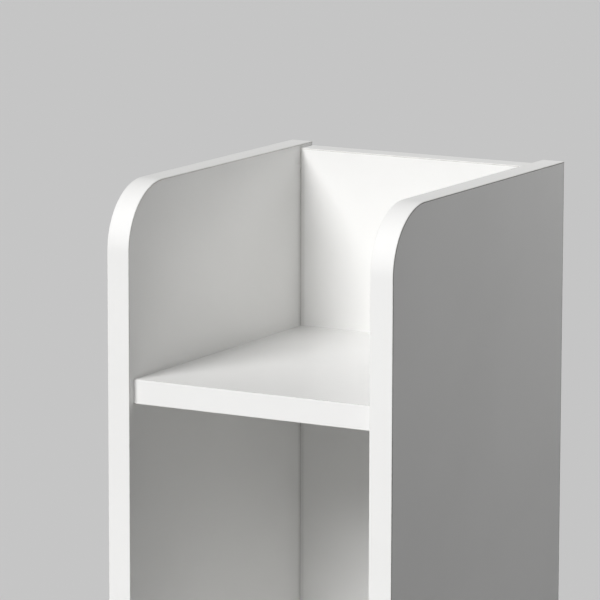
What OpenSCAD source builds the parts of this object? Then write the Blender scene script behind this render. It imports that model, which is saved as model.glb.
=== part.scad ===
// Narrow column cabinet for a bathroom, made of white boards.
// From the top down it has an open tray between two round-cornered sides, an open niche,
// and a cupboard with a door, a loose shelf and a plinth.
// Millimetres, +Z up. The front faces -Y and the floor is z = 0.
// The origin is the middle of the outline on the floor, with the knob counted in the depth.

/* [Cabinet] */
// Width over the two side boards
cabinet_w = 155; // [140:1:320]
// Depth from the front edges of the sides to their rear edges
cabinet_d = 180; // [160:1:360]
// Height from the floor to the tops of the sides
cabinet_h = 800; // [660:5:1200]
// Radius of the front top corner of each side
corner_r = 32; // [8:1:60]

/* [Boards] */
// Thickness of the side boards
side_t = 12; // [12:0.5:19]
// Thickness of the shelves, the bottom panel and the plinth
shelf_t = 12; // [12:0.5:19]
// Thickness of the back board
back_t = 12; // [12:0.5:19]
// Thickness of the edge bands
band_t = 0.6; // [0.4:0.1:1.5]
// How far the shelf fronts and the door stand behind the fronts of the sides
front_setback = 4.5; // [2:0.5:12]
// How far the top of the back board lies below the tops of the sides
back_drop = 2; // [1:0.5:20]

/* [Levels] */
// Depth of the tray, from the tops of the sides down to the tray shelf
tray_depth = 94; // [50:1:150]
// Clear height of the open niche
niche_h = 180; // [100:1:220]
// Height of the plinth under the bottom panel
plinth_h = 50; // [40:1:90]

/* [Loose shelf] */
// Gap between the swinging edge of the door and the loose shelf
loose_front_gap = 4.5; // [1:0.5:40]
// Gap between the loose shelf and each side
loose_side_gap = 0.75; // [0.3:0.05:0.9]
// Gap between the loose shelf and the back board
loose_back_gap = 0.8; // [0.3:0.1:0.9]
// Pitch of the shelf pin holes
pin_pitch = 32; // [20:1:50]
// Height kept free of pin holes at each end of the cupboard
pin_margin = 110; // [90:1:120]
// Diameter of the shelf pins
pin_d = 4.9; // [4:0.1:6]
// Depth of the shelf pins in the sides
pin_depth = 8; // [6:0.5:9]
// Length of the pad that carries the shelf
pin_pad_l = 7; // [5:0.5:12]
// Width of the pad that carries the shelf
pin_pad_w = 9; // [6:0.5:14]
// Distance of the pin holes from the front and rear edges of the loose shelf
pin_inset = 32; // [20:1:40]

/* [Door] */
// Thickness of the door
door_t = 12; // [12:0.5:19]
// Gap between the free edge of the door and the side
door_free_gap = 2; // [1.2:0.1:4]
// Gap above and below the door
door_end_gap = 2; // [1.6:0.1:4]
// Gap that is left between the swinging door edge and the side
swing_gap = 0.5; // [0.3:0.1:2]
// Distance of the pivot from the hinged edge of the door
pivot_inset = 8; // [7:0.5:14]
// Diameter of the pivot pins
pivot_d = 5; // [4:0.1:6]
// Length of each pivot pin inside the door
pivot_in_door = 15; // [10:1:30]
// Length of each pivot pin inside the carcass
pivot_in_carcass = 7.5; // [5:0.5:8.5]
// Wall of the pivot bushes
bush_wall = 1.5; // [1:0.1:2]
// Width of the flanges of the pivot bushes beyond their walls
bush_rim = 1.4; // [0.8:0.1:2]
// End play of the door on its bushes
pivot_play = 0.3; // [0.2:0.1:0.6]

/* [Knob] */
// Length of the knob from the door to its tip
knob_len = 22; // [19:0.5:32]
// Diameter of the head of the knob
knob_d = 25; // [18:0.5:34]
// Thickness of the head of the knob
knob_head_t = 9; // [7.5:0.5:10]
// Rounding of the head of the knob
knob_round = 3; // [1:0.25:3.5]
// Diameter of the foot of the knob
knob_foot_d = 16; // [12:0.5:20]
// Diameter of the knob at its waist
knob_waist_d = 10; // [8:0.5:11]
// Thickness of the foot of the knob
knob_foot_t = 2; // [1:0.5:4]
// Distance of the knob from the free edge of the door
knob_inset = 28; // [20:1:50]
// Distance of the knob from the top of the door
knob_drop = 90; // [60:1:200]
// Diameter of the knob screw
knob_screw_d = 4; // [3:0.5:5]
// Length of the knob screw inside the knob
knob_screw_grip = 9; // [5:0.5:12]

/* [Carcass fixings] */
// Distance of the cam locks from the ends of the shelves
cam_reach = 24; // [18:1:30]
// Diameter of the cam locks
cam_d = 12; // [10:0.5:15]
// Diameter of the heads of the cam bolts
cam_head_d = 6; // [5:0.5:7]
// Diameter of the necks of the cam bolts
cam_neck_d = 4; // [3:0.5:4.5]
// Diameter of the threads of the cam bolts
cam_thread_d = 5; // [4:0.5:6]
// Depth of the cam bolts in the sides
cam_thread_l = 8; // [6:0.5:9]
// Distance of the front cams from the fronts of the sides
cam_front_inset = 40; // [34:1:60]
// Distance of the rear cams from the back board
cam_rear_inset = 38; // [34:1:50]
// Diameter of the caps over the cam locks
cam_cap_d = 16; // [15:0.5:20]
// Thickness of the caps over the cam locks
cam_cap_t = 1; // [0.6:0.1:2]
// Diameter of the wood dowels
dowel_d = 6; // [5:0.5:7]
// Depth of the dowels in the sides
dowel_in_side = 8; // [6:0.5:9]
// Depth of the dowels in the board between the sides
dowel_in_board = 16; // [12:1:20]
// Distance of the outermost back dowels from the ends of the back board
back_dowel_inset = 60; // [40:1:75]
// Largest pitch of the back dowels
back_dowel_pitch = 230; // [150:5:300]
// Distance of the plinth dowels from the top and bottom of the plinth
plinth_dowel_inset = 13; // [9:1:16]
// Diameter of the back screws
back_screw_d = 3.5; // [3:0.5:4]
// Length of the back screws
back_screw_l = 35; // [30:1:40]
// Diameter of the heads of the back screws
back_screw_head_d = 7; // [6:0.5:8]
// Distance of the back screws from the sides
back_screw_inset = 26; // [24:1:40]

/* [Wall fixing] */
// Diameter of the two holes for wall screws
wall_hole_d = 5; // [4:0.5:7]
// Distance between the two holes for wall screws
wall_hole_spacing = 60; // [40:1:80]
// Distance of the holes for wall screws below the niche shelf
wall_hole_drop = 40; // [20:1:90]

/* [Catch] */
// Distance of the catch below the niche shelf
catch_drop = 42; // [32:1:60]
// Width of the catch housing, out from the side
catch_w = 15; // [13.5:0.5:20]
// Depth of the catch housing, front to back
catch_d = 15; // [13:0.5:20]
// Height of the catch housing
catch_h = 30; // [27:0.5:40]
// Thickness of the mounting wings of the catch
catch_wing_t = 2.5; // [1.5:0.5:4]
// Height of each mounting wing of the catch
catch_wing_h = 8; // [7:0.5:12]
// Thickness of the magnet
magnet_t = 6; // [4:0.5:7]
// Height of the magnet
magnet_h = 22; // [15:1:24]
// Depth of the magnet
magnet_d = 9; // [6:0.5:10]
// Thickness of each pole plate
pole_t = 1.5; // [1:0.1:1.8]
// How far the pole plates stand out of the housing
pole_proud = 0.5; // [0.2:0.1:1]
// Width of the strike plate on the door
strike_w = 10; // [9:0.5:11]
// Height of the strike plate on the door
strike_h = 40; // [30:1:60]
// Thickness of the strike plate on the door
strike_t = 1.2; // [0.8:0.1:2]
// Gap between the strike plate and the pole plates when the door is shut
strike_gap = 0.3; // [0.2:0.1:0.6]
// Diameter of the catch screws and of the strike screw
small_screw_d = 3; // [2.5:0.5:3.5]
// Depth of the catch screws and of the strike screw in the boards
small_screw_l = 8; // [6:0.5:9]

/* [Feet] */
// Height of the glides under the sides
glide_h = 3; // [2.5:0.5:6]
// Diameter of the glides
glide_d = 11; // [9:0.5:12]
// Distance of the glides from the front and rear edges of the sides
glide_inset = 20; // [16:1:50]
// Diameter of the glide nails
nail_d = 1.6; // [1.2:0.2:2.4]
// Depth of the glide nails in the sides
nail_l = 10; // [6:1:16]

/* [Hidden] */
// Every circle here is a true circle
$fn = 64;
// Radial clearance of a fixing in its hole
snug = 0.05;
// Extra depth of a blind hole past its fixing
end_room = 0.3;
// How far a cutting tool reaches past the face that it opens
over = 1;
LEFT = -1;
RIGHT = 1;

// Screw heads as shares of the screw, and their cross recesses and rims as shares of the head
screw_head_d_share = 1.9;
screw_head_h_share = 0.6;
recess_reach_share = 0.6;
recess_slot_share = 0.16;
recess_depth_share = 0.55;
pan_rim_share = 0.35;

// Main planes of the carcass
inner_x = cabinet_w / 2 - side_t;
knob_proud = knob_len - front_setback;
front_y = (knob_proud - cabinet_d) / 2;
rear_y = front_y + cabinet_d;
shelf_front_y = front_y + front_setback;
back_y = rear_y - back_t;
side_z = glide_h;
top_z = cabinet_h;
back_top_z = top_z - back_drop;
tray_z = top_z - tray_depth;
niche_z = tray_z - shelf_t - niche_h;
cupboard_top_z = niche_z - shelf_t;
bottom_z = side_z + plinth_h + shelf_t;
cupboard_h = cupboard_top_z - bottom_z;

// Fixed shelves, named by the height of their top faces
fixed_levels = [tray_z, niche_z, bottom_z];
capped_levels = [tray_z, niche_z];
cam_ys = [front_y + cam_front_inset, back_y - cam_rear_inset];
mid_dowel_y = (cam_ys[0] + cam_ys[1]) / 2;
cam_slot_room = 0.6;
cam_slot = cam_head_d + cam_slot_room;
cam_floor = shelf_t / 2 - cam_slot / 2;
cam_body_h = shelf_t / 2 + cam_slot / 2;
cam_pocket_h = cam_body_h + end_room;
cam_bore_room = 1;
cam_bore_d = cam_head_d + cam_bore_room;
cam_head_l = 3;
cam_collar_l = 1.2;
cam_key = 1.4;
cam_key_reach = 0.6 * cam_d;
cam_key_depth = 1.8;
cam_slot_end = 0.2;
dowel_chamfer = 0.8;

// Dowels in the two side edges of the back board
back_h = back_top_z - band_t - side_z;
back_dowel_run = back_h - 2 * back_dowel_inset;
back_dowel_gaps = ceil(back_dowel_run / back_dowel_pitch);
back_dowel_zs = [for (i = [0:back_dowel_gaps]) side_z + back_dowel_inset + i * back_dowel_run / back_dowel_gaps];
back_dowel_y = rear_y - back_t / 2;
plinth_y = shelf_front_y + shelf_t / 2;
plinth_dowel_zs = [side_z + plinth_dowel_inset, side_z + plinth_h - plinth_dowel_inset];
back_screw_x = inner_x - back_screw_inset;
back_screw_head_h = 2.2;
wall_hole_z = cupboard_top_z - wall_hole_drop;

// Door and its pivots
swing_r = sqrt(pow(pivot_inset, 2) + pow(door_t / 2, 2));
hinge_gap = swing_r - pivot_inset + swing_gap;
door_x0 = -inner_x + hinge_gap;
door_x1 = inner_x - door_free_gap;
door_y0 = shelf_front_y;
door_y1 = door_y0 + door_t;
door_z0 = bottom_z + door_end_gap;
door_z1 = cupboard_top_z - door_end_gap;
pivot_x = door_x0 + pivot_inset;
pivot_y = door_y0 + door_t / 2;
bush_d = pivot_d + 2 * bush_wall;
bush_flange_t = (door_end_gap - pivot_play) / 2;
bush_flange_d = bush_d + 2 * bush_rim;

// Loose shelf on its pins
pin_rows = floor((cupboard_h - 2 * pin_margin) / pin_pitch) + 1;
pin_start_z = bottom_z + (cupboard_h - (pin_rows - 1) * pin_pitch) / 2;
pin_zs = [for (i = [0:pin_rows - 1]) pin_start_z + i * pin_pitch];
used_pin_z = pin_zs[floor(pin_rows / 2)];
loose_y0 = pivot_y + swing_r + loose_front_gap;
loose_y1 = back_y - loose_back_gap;
loose_z0 = used_pin_z + pin_d / 2;
pin_ys = [loose_y0 + pin_inset, loose_y1 - pin_inset];
pin_collar_d = 2 * pin_d;
pin_collar_t = 1.2;
pin_pad_t = 3.2;

// Knob and its screw
knob_x = door_x1 - knob_inset;
knob_z = door_z1 - knob_drop;
knob_neck_l = knob_len - knob_foot_t - knob_head_t;
knob_curve_in = (knob_foot_d - knob_waist_d) / 2;
knob_curve_r = (pow(knob_neck_l / 2, 2) + pow(knob_curve_in, 2)) / (2 * knob_curve_in);
knob_screw_head_d = screw_head_d_share * knob_screw_d;
knob_screw_head_h = screw_head_h_share * knob_screw_d;

// Catch on the right side and strike plate on the door
catch_z = cupboard_top_z - catch_drop;
pole_y = door_y1 + strike_t + strike_gap;
catch_y = pole_y + pole_proud;
magnet_shift = 0.5;
magnet_x = inner_x - catch_w / 2 - magnet_shift;
magnet_room = 0.1;
wing_bore_room = 0.1;
wing_screw_dz = catch_h / 2 + catch_wing_h / 2;
small_head_d = screw_head_d_share * small_screw_d;
small_head_h = screw_head_h_share * small_screw_d;
strike_edge = 1;
strike_x = min(magnet_x, door_x1 - strike_w / 2 - strike_edge);

// Glides
glide_ys = [front_y + glide_inset, rear_y - glide_inset];
glide_x = cabinet_w / 2 - side_t / 2;
glide_chamfer = 0.6;
glide_skin = 1.2;
nail_head_d = 3.5 * nail_d;
nail_head_h = 0.6;
nail_tip_l = 1.5 * nail_d;
nail_tip_d = nail_d / 5;

// A frame on the inner face of one side, with +X into that side
module on_side(side, y, z) {
    translate([side * inner_x, y, z]) mirror([1 - side, 0, 0]) children();
}

// A round bar along X
module rod_x(x0, x1, d) {
    translate([x0, 0, 0]) rotate([0, 90, 0]) cylinder(h = x1 - x0, d = d);
}

// A box given by its lowest and highest corners
module box(low, high) {
    translate(low) cube(high - low);
}

// Places of every dowel that enters a side, as [y, z]
dowel_places = concat(
    [for (level = fixed_levels) [mid_dowel_y, level - shelf_t / 2]],
    [for (z = back_dowel_zs) [back_dowel_y, z]],
    [for (z = plinth_dowel_zs) [plinth_y, z]]
);

// Holes for the dowels that enter the end of one board at one height and depth
module dowel_bore() {
    rod_x(-dowel_in_board - end_room, over, dowel_d + 2 * snug);
}

// Outline of a side in the YZ plane, with a round front top corner
module side_outline(y0, y1, z0, z1, r) {
    translate([y0, z0]) square([y1 - y0, z1 - r - z0]);
    translate([y0 + r, z0]) square([y1 - y0 - r, z1 - z0]);
    translate([y0 + r, z1 - r]) circle(r = r);
}

// A flat piece as thick as a side board, raised from an outline in the YZ plane
module side_slab(side) {
    outer_x = side * cabinet_w / 2;
    translate([min(outer_x, side * inner_x), 0, 0]) rotate([90, 0, 90]) linear_extrude(side_t) children();
}

// Side board with every hole that its inner face has
module side_board(side) {
    color("white") difference() {
        side_slab(side) side_outline(
            front_y + band_t, rear_y - band_t, side_z, top_z - band_t, corner_r - band_t
        );
        for (level = fixed_levels, y = cam_ys)
            on_side(side, y, level - shelf_t / 2)
                rod_x(-over, cam_thread_l + end_room, cam_thread_d + 2 * snug);
        for (place = dowel_places)
            on_side(side, place[0], place[1])
                rod_x(-over, dowel_in_side + end_room, dowel_d + 2 * snug);
        for (y = pin_ys, z = pin_zs)
            on_side(side, y, z)
                rod_x(-over, pin_depth + end_room, pin_d + 2 * snug);
        for (y = glide_ys)
            translate([side * glide_x, y, side_z - over])
                cylinder(h = nail_l + end_room + over, d = nail_d + 2 * snug);
        if (side == RIGHT)
            for (end = [-1, 1])
                on_side(side, catch_y + catch_d / 2, catch_z + end * wing_screw_dz)
                    rod_x(-over, small_screw_l + end_room, small_screw_d + 2 * snug);
    }
}

// Edge band that runs up the front, round the corner and along the top of a side
module side_band(side) {
    color("snow") side_slab(side) difference() {
        side_outline(front_y, rear_y, side_z, top_z, corner_r);
        side_outline(front_y + band_t, rear_y + over, side_z - over, top_z - band_t, corner_r - band_t);
    }
}

// Edge band on the rear edge of a side
module side_rear_band(side) {
    color("snow") side_slab(side)
        translate([rear_y - band_t, side_z]) square([band_t, top_z - band_t - side_z]);
}

module side_left() {
    side_board(LEFT);
}

module side_left_band() {
    side_band(LEFT);
}

module side_left_rear_band() {
    side_rear_band(LEFT);
}

module side_right() {
    side_board(RIGHT);
}

module side_right_band() {
    side_band(RIGHT);
}

module side_right_rear_band() {
    side_rear_band(RIGHT);
}

// Countersunk screw along +Z, with the face of its head at z = 0
module countersunk_screw(d, l, head_d, head_h) {
    tip = 2 * d;
    difference() {
        union() {
            cylinder(h = head_h, d1 = head_d, d2 = d);
            cylinder(h = l - tip, d = d);
            translate([0, 0, l - tip]) cylinder(h = tip, d1 = d, d2 = d / 4);
        }
        cross_recess(head_d, head_h);
    }
}

// Pan head screw along +Z, with the underside of its head at z = 0
module pan_screw(d, l, head_d, head_h) {
    rim = pan_rim_share * head_h;
    difference() {
        union() {
            cylinder(h = l, d = d);
            translate([0, 0, -head_h + rim]) cylinder(h = head_h - rim, d = head_d);
            translate([0, 0, -head_h]) cylinder(h = rim, d1 = head_d - 2 * rim, d2 = head_d);
        }
        translate([0, 0, -head_h]) cross_recess(head_d, head_h);
    }
}

// Recess for a cross-head screwdriver, cut upwards from z = 0 into a screw head
module cross_recess(head_d, head_h) {
    cross_cut(recess_reach_share * head_d, recess_slot_share * head_d, recess_depth_share * head_h);
}

// Cross-shaped cut upwards from z = 0
module cross_cut(reach, slot, depth) {
    translate([-reach / 2, -slot / 2, -over]) cube([reach, slot, depth + over]);
    translate([-slot / 2, -reach / 2, -over]) cube([slot, reach, depth + over]);
}

// A frame on the rear face of the back board, with +Z forward into the boards
module from_rear(x, z) {
    translate([x, rear_y, z]) rotate([90, 0, 0]) children();
}

// Back board between the sides
module back_board() {
    color("white") difference() {
        box([-inner_x, back_y, side_z], [inner_x, rear_y, back_top_z - band_t]);
        for (side = [LEFT, RIGHT], z = back_dowel_zs)
            on_side(side, back_dowel_y, z) dowel_bore();
        for (level = fixed_levels, side = [LEFT, RIGHT])
            from_rear(side * back_screw_x, level - shelf_t / 2) {
                translate([0, 0, -over]) cylinder(h = back_t + 2 * over, d = back_screw_d + 2 * snug);
                cylinder(h = back_screw_head_h, d1 = back_screw_head_d + 2 * snug, d2 = back_screw_d + 2 * snug);
            }
        for (side = [LEFT, RIGHT])
            from_rear(side * wall_hole_spacing / 2, wall_hole_z)
                translate([0, 0, -over]) cylinder(h = back_t + 2 * over, d = wall_hole_d);
    }
}

// Edge band on the top of the back board
module back_board_band() {
    color("snow") box([-inner_x, back_y, back_top_z - band_t], [inner_x, rear_y, back_top_z]);
}

// Shelf between the sides whose top face is at one level, held by cams, dowels and back screws
module fixed_shelf(level) {
    mid_z = level - shelf_t / 2;
    color("white") difference() {
        box([-inner_x, shelf_front_y + band_t, level - shelf_t], [inner_x, back_y, level]);
        for (side = [LEFT, RIGHT], y = cam_ys)
            on_side(side, y, mid_z) {
                rod_x(-cam_reach, over, cam_bore_d);
                translate([-cam_reach, 0, -shelf_t / 2 - over])
                    cylinder(h = cam_pocket_h + over, d = cam_d + 2 * snug);
            }
        for (side = [LEFT, RIGHT])
            on_side(side, mid_dowel_y, mid_z) dowel_bore();
        for (side = [LEFT, RIGHT])
            from_rear(side * back_screw_x, mid_z)
                cylinder(h = back_screw_l + end_room, d = back_screw_d + 2 * snug);
    }
}

// Edge band on the front of a fixed shelf
module shelf_band(level) {
    color("snow")
        box([-inner_x, shelf_front_y, level - shelf_t], [inner_x, shelf_front_y + band_t, level]);
}

// Shelf under the tray
module tray_shelf() {
    fixed_shelf(tray_z);
}

module tray_shelf_band() {
    shelf_band(tray_z);
}

// Shelf between the niche and the cupboard, with the seat of the upper pivot bush
module niche_shelf() {
    difference() {
        fixed_shelf(niche_z);
        translate([pivot_x, pivot_y, cupboard_top_z - over])
            cylinder(h = pivot_in_carcass + end_room + over, d = bush_d + 2 * snug);
    }
}

module niche_shelf_band() {
    shelf_band(niche_z);
}

// Floor of the cupboard, with the seat of the lower pivot bush
module bottom_panel() {
    difference() {
        fixed_shelf(bottom_z);
        translate([pivot_x, pivot_y, bottom_z - pivot_in_carcass - end_room])
            cylinder(h = pivot_in_carcass + end_room + over, d = bush_d + 2 * snug);
    }
}

module bottom_panel_band() {
    shelf_band(bottom_z);
}

// Board that closes the front under the bottom panel
module plinth() {
    color("white") difference() {
        box([-inner_x, shelf_front_y, side_z], [inner_x, shelf_front_y + shelf_t, side_z + plinth_h]);
        for (side = [LEFT, RIGHT], z = plinth_dowel_zs)
            on_side(side, plinth_y, z) dowel_bore();
    }
}

// Shelf that lies on four pins inside the cupboard
module loose_shelf() {
    half_w = inner_x - loose_side_gap;
    color("white")
        box([-half_w, loose_y0 + band_t, loose_z0], [half_w, loose_y1, loose_z0 + shelf_t]);
}

module loose_shelf_band() {
    half_w = inner_x - loose_side_gap;
    color("snow")
        box([-half_w, loose_y0, loose_z0], [half_w, loose_y0 + band_t, loose_z0 + shelf_t]);
}

// One shelf pin with a collar against the side and a flat pad under the shelf
module shelf_pin() {
    rod_x(-pin_pad_l, pin_depth, pin_d);
    difference() {
        rod_x(-pin_collar_t, 0, pin_collar_d);
        box([-2 * pin_collar_t, -pin_collar_d, pin_d / 2], [over, pin_collar_d, pin_collar_d]);
    }
    box([-pin_pad_l, -pin_pad_w / 2, pin_d / 2 - pin_pad_t], [0, pin_pad_w / 2, pin_d / 2]);
}

module shelf_pins() {
    color("gainsboro")
        for (side = [LEFT, RIGHT], y = pin_ys)
            on_side(side, y, used_pin_z) shelf_pin();
}

// Frames on the lower and upper edges of the door, with +Z out of the door along the pivot
module on_door_ends() {
    translate([pivot_x, pivot_y, door_z1]) children();
    translate([pivot_x, pivot_y, door_z0]) mirror([0, 0, 1]) children();
}

// A frame on the front face of the door at the knob, with +Z out to the front
module at_knob() {
    translate([knob_x, door_y0, knob_z]) rotate([90, 0, 0]) children();
}

// A frame on the rear face of the door at the strike plate, with +Z forward into the door
module at_strike() {
    translate([strike_x, door_y1, catch_z]) rotate([90, 0, 0]) children();
}

// Door with the seats of its pivot bushes and the holes for the knob and strike screws
module door() {
    color("white") difference() {
        box([door_x0 + band_t, door_y0, door_z0 + band_t], [door_x1 - band_t, door_y1, door_z1 - band_t]);
        on_door_ends()
            translate([0, 0, -pivot_in_door - end_room])
                cylinder(h = pivot_in_door + end_room + over, d = bush_d + 2 * snug);
        at_knob()
            translate([0, 0, -door_t - over]) cylinder(h = door_t + 2 * over, d = knob_screw_d + 2 * snug);
        at_strike()
            translate([0, 0, -over])
                cylinder(h = small_screw_l + end_room + over, d = small_screw_d + 2 * snug);
    }
}

// Edge bands round the four edges of the door, with holes where the pivot bushes pass
module door_bands() {
    color("snow") difference() {
        box([door_x0, door_y0, door_z0], [door_x1, door_y1, door_z1]);
        box(
            [door_x0 + band_t, door_y0 - over, door_z0 + band_t],
            [door_x1 - band_t, door_y1 + over, door_z1 - band_t]
        );
        on_door_ends()
            translate([0, 0, -band_t - over]) cylinder(h = band_t + 2 * over, d = bush_d + 2 * snug);
    }
}

// Steel pins that the door turns on
module door_pivot_pins() {
    color("silver") on_door_ends()
        translate([0, 0, -pivot_in_door])
            cylinder(h = pivot_in_door + door_end_gap + pivot_in_carcass - end_room, d = pivot_d);
}

// Flanged bush along -Z from the face that its flange lies on, and the flange above that face
module flanged_bush(l) {
    difference() {
        union() {
            translate([0, 0, -l]) cylinder(h = l, d = bush_d);
            cylinder(h = bush_flange_t, d = bush_flange_d);
        }
        translate([0, 0, -l - over]) cylinder(h = l + bush_flange_t + 2 * over, d = pivot_d + 2 * snug);
    }
}

module door_pivot_bushes() {
    color("whitesmoke") on_door_ends() flanged_bush(pivot_in_door);
}

module carcass_pivot_bushes() {
    color("whitesmoke") on_door_ends()
        translate([0, 0, door_end_gap]) mirror([0, 0, 1]) flanged_bush(pivot_in_carcass);
}

// Half section of the knob, from the door face at zero up to its tip
module knob_section() {
    square([knob_foot_d / 2, knob_foot_t]);
    translate([0, knob_foot_t]) difference() {
        square([knob_foot_d / 2, knob_neck_l]);
        translate([knob_waist_d / 2 + knob_curve_r, knob_neck_l / 2]) circle(r = knob_curve_r);
    }
    translate([0, knob_len - knob_head_t]) {
        square([knob_d / 2 - knob_round, knob_head_t]);
        translate([0, knob_round]) square([knob_d / 2, knob_head_t - 2 * knob_round]);
        for (h = [knob_round, knob_head_t - knob_round])
            translate([knob_d / 2 - knob_round, h]) circle(r = knob_round);
    }
}

module knob() {
    color("lightgray") at_knob() difference() {
        rotate_extrude() knob_section();
        translate([0, 0, -over])
            cylinder(h = knob_screw_grip + end_room + over, d = knob_screw_d + 2 * snug);
    }
}

module knob_screw() {
    color("silver") at_knob() translate([0, 0, -door_t])
        pan_screw(knob_screw_d, door_t + knob_screw_grip, knob_screw_head_d, knob_screw_head_h);
}

// A frame on the inner face of the right side at the catch, with +X into the side
module at_catch() {
    on_side(RIGHT, catch_y, catch_z) children();
}

// Pocket that holds the magnet between its two pole plates
module magnet_pocket() {
    half_w = magnet_t / 2 + pole_t + magnet_room;
    half_h = magnet_h / 2 + magnet_room;
    box(
        [magnet_x - inner_x - half_w, -over, -half_h],
        [magnet_x - inner_x + half_w, magnet_d + magnet_room, half_h]
    );
}

// Plastic housing of the catch, with a wing above and below for its screws
module catch_housing() {
    wing_z = catch_h / 2 + catch_wing_h;
    color("whitesmoke") at_catch() difference() {
        union() {
            box([-catch_w, 0, -catch_h / 2], [0, catch_d, catch_h / 2]);
            box([-catch_wing_t, 0, -wing_z], [0, catch_d, wing_z]);
        }
        magnet_pocket();
        for (end = [-1, 1])
            translate([0, catch_d / 2, end * wing_screw_dz])
                rod_x(-catch_wing_t - over, over, small_screw_d + 2 * wing_bore_room);
    }
}

module catch_magnet() {
    color("dimgray") at_catch() translate([magnet_x - inner_x, 0, 0])
        box([-magnet_t / 2, 0, -magnet_h / 2], [magnet_t / 2, magnet_d, magnet_h / 2]);
}

// Steel plates on both faces of the magnet, which touch the strike plate
module catch_pole_plates() {
    color("silver") at_catch() translate([magnet_x - inner_x, 0, 0])
        for (end = [-1, 1])
            translate([end * (magnet_t + pole_t) / 2, 0, 0])
                box([-pole_t / 2, -pole_proud, -magnet_h / 2], [pole_t / 2, magnet_d, magnet_h / 2]);
}

module catch_screws() {
    color("silver") at_catch() for (end = [-1, 1])
        translate([-catch_wing_t, catch_d / 2, end * wing_screw_dz]) rotate([0, 90, 0])
            pan_screw(small_screw_d, catch_wing_t + small_screw_l, small_head_d, small_head_h);
}

// Steel plate on the rear of the door that the magnet pulls
module strike_plate() {
    color("silver") difference() {
        box([strike_x - strike_w / 2, door_y1, catch_z - strike_h / 2],
            [strike_x + strike_w / 2, door_y1 + strike_t, catch_z + strike_h / 2]);
        at_strike() {
            translate([0, 0, -strike_t - over]) cylinder(h = strike_t + 2 * over, d = small_screw_d + 2 * snug);
            translate([0, 0, -strike_t])
                cylinder(h = strike_t, d1 = small_head_d + 2 * snug, d2 = small_screw_d + 2 * snug);
        }
    }
}

module strike_screw() {
    color("silver") at_strike() translate([0, 0, -strike_t])
        countersunk_screw(small_screw_d, strike_t + small_screw_l, small_head_d, strike_t);
}

// Every place of a cam, once for each side, level and depth
module at_cams(levels) {
    for (side = [LEFT, RIGHT], level = levels, y = cam_ys)
        on_side(side, y, level - shelf_t / 2) children();
}

// Steel bolts that stand in the sides and reach into the shelf ends
module cam_bolts() {
    color("silver") at_cams(fixed_levels) {
        rod_x(0, cam_thread_l, cam_thread_d);
        rod_x(-cam_collar_l, 0, cam_head_d);
        rod_x(-cam_reach, 0, cam_neck_d);
        rod_x(-cam_reach - cam_head_l / 2, -cam_reach + cam_head_l / 2, cam_head_d);
    }
}

// Metal cams in the undersides of the shelves, slotted for the bolt heads
module cam_locks() {
    color("darkgray") at_cams(fixed_levels)
        translate([-cam_reach, 0, -shelf_t / 2]) difference() {
            cylinder(h = cam_body_h, d = cam_d);
            box([-cam_head_l / 2 - cam_slot_end, -cam_slot / 2, cam_floor], [cam_d, cam_slot / 2, shelf_t]);
            cross_cut(cam_key_reach, cam_key, cam_key_depth);
        }
}

// Plastic caps that hide the cams in the undersides that can be seen
module cam_caps() {
    rim = cam_cap_t / 2;
    color("snow") at_cams(capped_levels)
        translate([-cam_reach, 0, -shelf_t / 2 - cam_cap_t]) {
            cylinder(h = rim, d1 = cam_cap_d - 2 * rim, d2 = cam_cap_d);
            translate([0, 0, rim]) cylinder(h = cam_cap_t - rim, d = cam_cap_d);
        }
}

// Wooden dowels between the sides and the boards that they hold
module wood_dowels() {
    color("burlywood") for (side = [LEFT, RIGHT], place = dowel_places)
        on_side(side, place[0], place[1]) {
            rod_x(-dowel_in_board + dowel_chamfer, dowel_in_side - dowel_chamfer, dowel_d);
            translate([dowel_in_side - dowel_chamfer, 0, 0]) rotate([0, 90, 0])
                cylinder(h = dowel_chamfer, d1 = dowel_d, d2 = dowel_d - 2 * dowel_chamfer);
            translate([-dowel_in_board, 0, 0]) rotate([0, 90, 0])
                cylinder(h = dowel_chamfer, d1 = dowel_d - 2 * dowel_chamfer, d2 = dowel_d);
        }
}

// Screws through the back board into the rear edges of the fixed shelves
module back_screws() {
    color("silver") for (level = fixed_levels, side = [LEFT, RIGHT])
        from_rear(side * back_screw_x, level - shelf_t / 2)
            countersunk_screw(back_screw_d, back_screw_l, back_screw_head_d, back_screw_head_h);
}

// Places of the four glides under the sides
module at_glides() {
    for (side = [LEFT, RIGHT], y = glide_ys)
        translate([side * glide_x, y, 0]) children();
}

// Plastic discs moulded round the heads of their nails
module glides() {
    color("whitesmoke") at_glides() difference() {
        union() {
            cylinder(h = glide_chamfer, d1 = glide_d - 2 * glide_chamfer, d2 = glide_d);
            translate([0, 0, glide_chamfer]) cylinder(h = glide_h - glide_chamfer, d = glide_d);
        }
        translate([0, 0, glide_skin]) cylinder(h = glide_h, d = nail_d + 2 * snug);
        translate([0, 0, glide_skin]) cylinder(h = nail_head_h, d = nail_head_d + 2 * snug);
    }
}

module glide_nails() {
    color("silver") at_glides() {
        translate([0, 0, glide_skin]) cylinder(h = nail_head_h, d = nail_head_d);
        translate([0, 0, glide_skin]) cylinder(h = glide_h - glide_skin + nail_l - nail_tip_l, d = nail_d);
        translate([0, 0, glide_h + nail_l - nail_tip_l])
            cylinder(h = nail_tip_l, d1 = nail_d, d2 = nail_tip_d);
    }
}

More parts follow.
